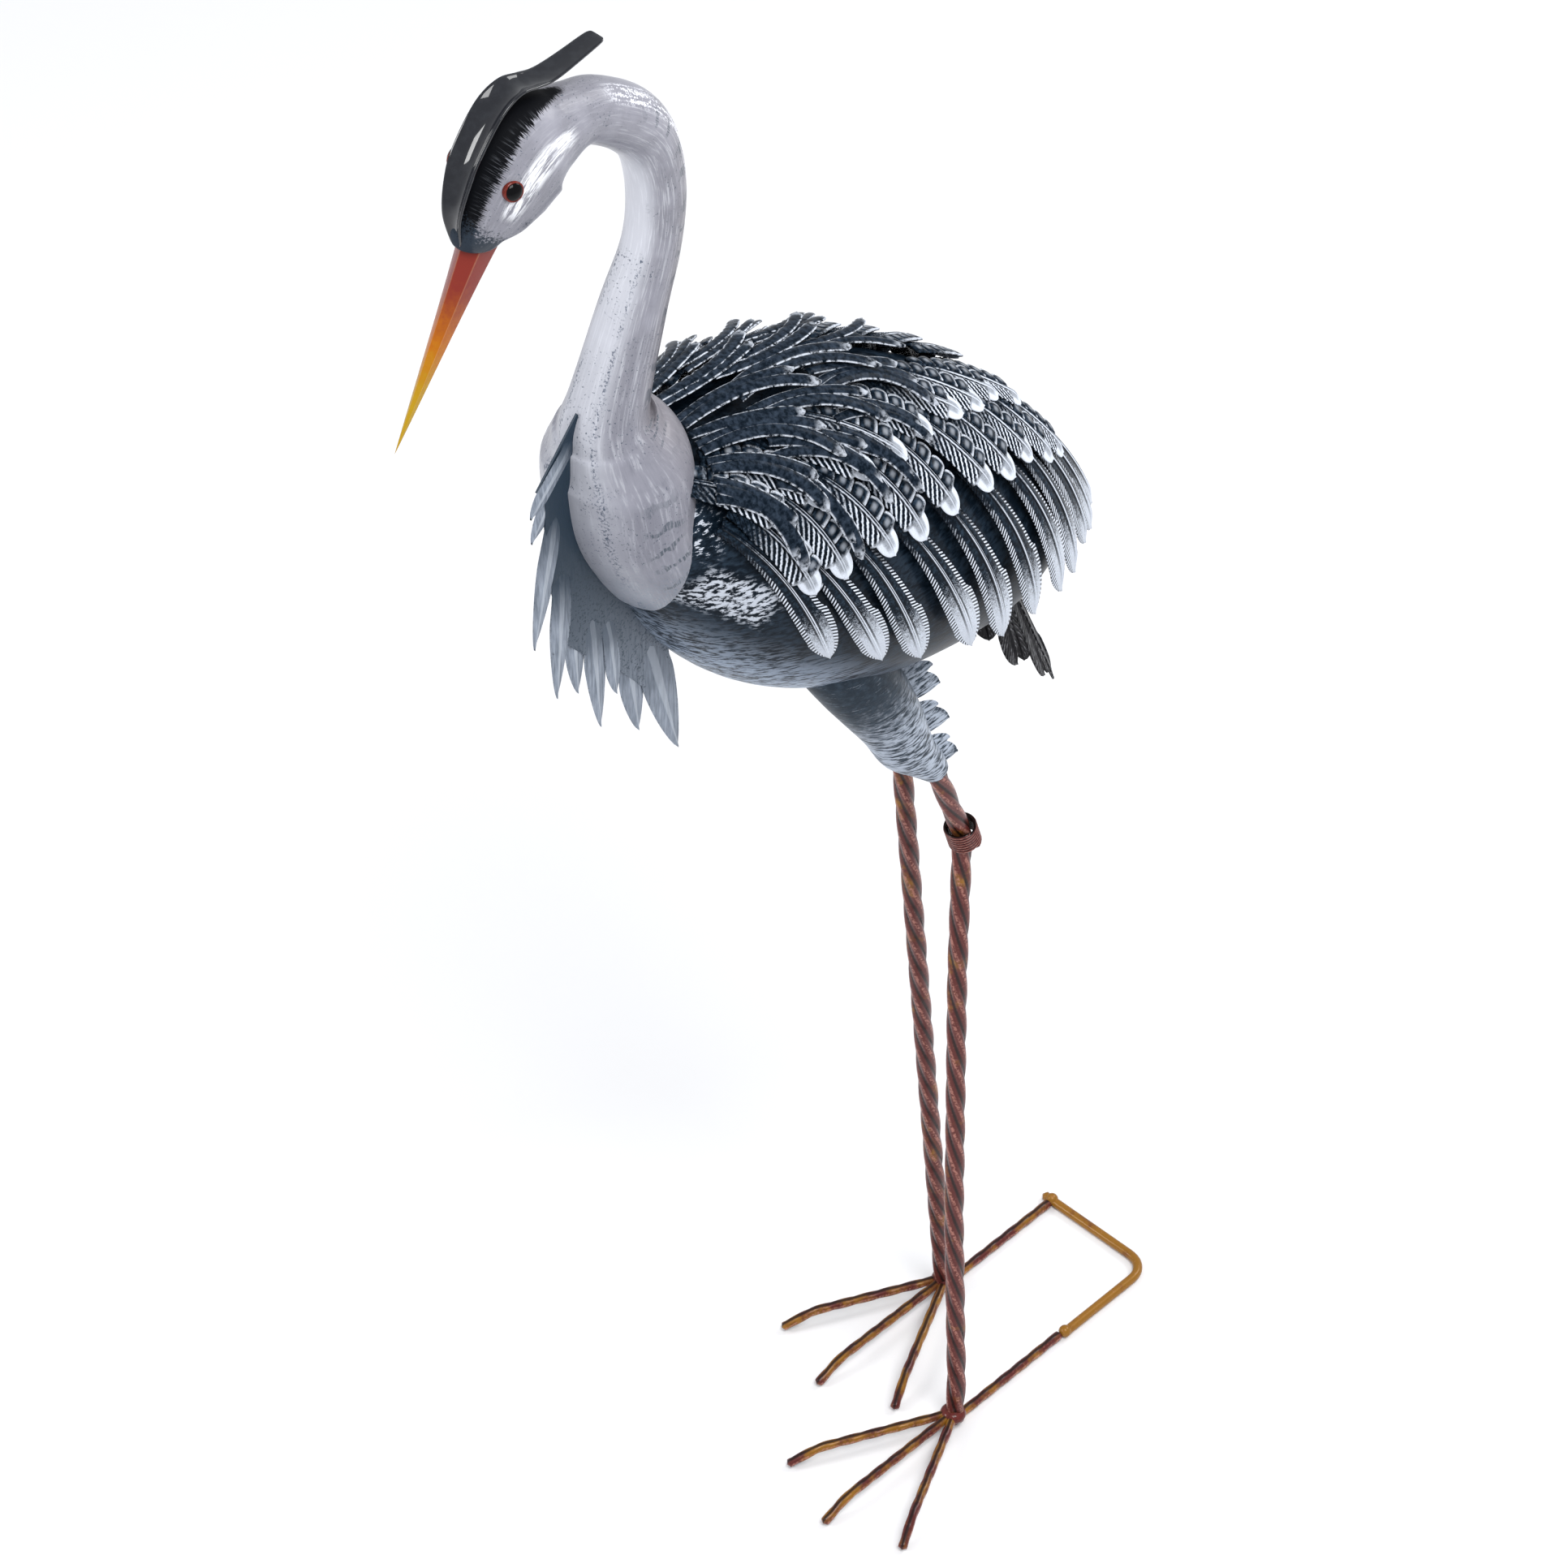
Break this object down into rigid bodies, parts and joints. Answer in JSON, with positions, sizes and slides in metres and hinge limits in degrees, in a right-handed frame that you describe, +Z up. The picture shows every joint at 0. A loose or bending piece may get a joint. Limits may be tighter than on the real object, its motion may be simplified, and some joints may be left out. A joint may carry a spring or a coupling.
{
  "type": "metal crane garden statue",
  "caption": "Standing garden bird of painted sheet metal: dagger beak, long curved neck, layered wing feathers, twisted rod legs and wire feet braced behind.",
  "frame": {"origin": "on the ground under the middle of the statue's box", "axes": "+Z up, the bird looks along -Y, +X is its left side"},
  "size_m": [0.155, 0.4766, 0.9976],
  "materials": {
    "slate_paint": "gloss",
    "silver_paint": "gloss",
    "pale_paint": "gloss",
    "black_paint": "gloss",
    "eye_gloss": "gloss",
    "orange_paint": "gloss",
    "bronze_paint": "gloss",
    "copper_paint": "gloss",
    "ochre_paint": "gloss"
  },
  "bodies": {
    "root": {"back_plumes_front_left": "silver_paint", "back_plumes_front_right": "silver_paint", "back_plumes_middle_left": "silver_paint", "back_plumes_middle_right": "silver_paint", "back_plumes_rear_left": "silver_paint", "back_plumes_rear_right": "silver_paint", "beak": "orange_paint", "body_shell": "slate_paint", "breast_plume": "silver_paint", "crest_plume": "black_paint", "eye_left": "eye_gloss", "eye_right": "eye_gloss", "knee_coil_left": "copper_paint", "knee_coil_right": "copper_paint", "leg_left": "copper_paint", "leg_right": "copper_paint", "neck_and_head": "pale_paint", "rear_brace": "ochre_paint", "tail_feathers": "bronze_paint", "thigh_left": "slate_paint", "thigh_right": "slate_paint", "toe_left_inner": "ochre_paint", "toe_left_middle": "ochre_paint", "toe_left_outer": "ochre_paint", "toe_left_rear": "ochre_paint", "toe_right_inner": "ochre_paint", "toe_right_middle": "ochre_paint", "toe_right_outer": "ochre_paint", "toe_right_rear": "ochre_paint", "wing_flight_feathers_left": "slate_paint", "wing_flight_feathers_right": "slate_paint", "wing_lower_coverts_left": "slate_paint", "wing_lower_coverts_right": "slate_paint", "wing_upper_coverts_left": "slate_paint", "wing_upper_coverts_right": "slate_paint"}
  },
  "joints": []
}
